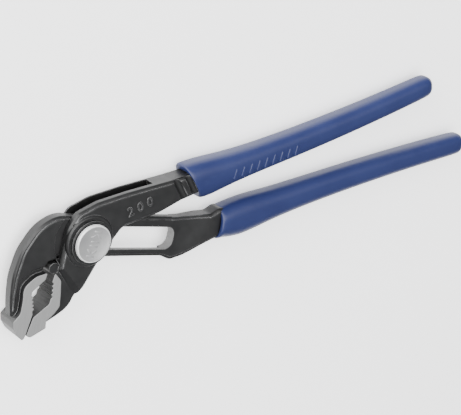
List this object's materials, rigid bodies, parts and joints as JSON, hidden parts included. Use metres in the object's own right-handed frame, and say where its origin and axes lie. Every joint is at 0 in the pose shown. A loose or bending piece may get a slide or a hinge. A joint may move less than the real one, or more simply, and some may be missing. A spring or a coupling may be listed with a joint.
{
  "type": "tongue and groove pliers",
  "caption": "Slip-joint plumbing pliers with a push-button box joint, hooked jaws with a pipe recess and dipped grips.",
  "frame": {"origin": "centre of the back face of the pivot bolt's head, on the pivot axis, where the tool rests when it lies on its back", "axes": "+Z along the pivot axis out of the push button, +X along the adjusting slot towards the handles, +Y in the tool's plane towards the outer lever's handle"},
  "size_m": [0.1932, 0.0983, 0.0127],
  "materials": {
    "black_steel": "satin black coating over forged steel, with ground jaw faces",
    "grip_vinyl": "satin dipped vinyl, blue",
    "button_steel": "satin nickel plate",
    "dark_steel": "oiled hardened steel",
    "spring_steel": "drawn spring wire"
  },
  "bodies": {
    "outer": {"outer_lever": "black_steel", "outer_grip": "grip_vinyl", "bezel_ring": "black_steel"},
    "pivot": {"pivot_bolt": "dark_steel", "retaining_ring": "dark_steel", "return_spring": "spring_steel"},
    "inner": {"inner_lever": "black_steel", "inner_grip": "grip_vinyl"},
    "button": {"push_button": "button_steel", "button_stem": "dark_steel", "locking_pawl": "dark_steel"}
  },
  "joints": [
    {"name": "lever_pivot", "type": "hinge", "parent": "outer", "child": "pivot", "pos_m": [0, 0, 0.0052], "axis": [0, 0, 1], "range_deg": [-40, 0]},
    {"name": "slot_slide", "type": "slide", "parent": "pivot", "child": "inner", "axis": [-1, 0, 0], "range_m": [0, 0.0162]},
    {"name": "button_press", "type": "slide", "parent": "pivot", "child": "button", "axis": [0, 0, -1], "range_m": [0, 0.0014], "stiffness_N_per_m": 1500, "springref_m": -0.001, "deforming": ["return_spring"]}
  ]
}
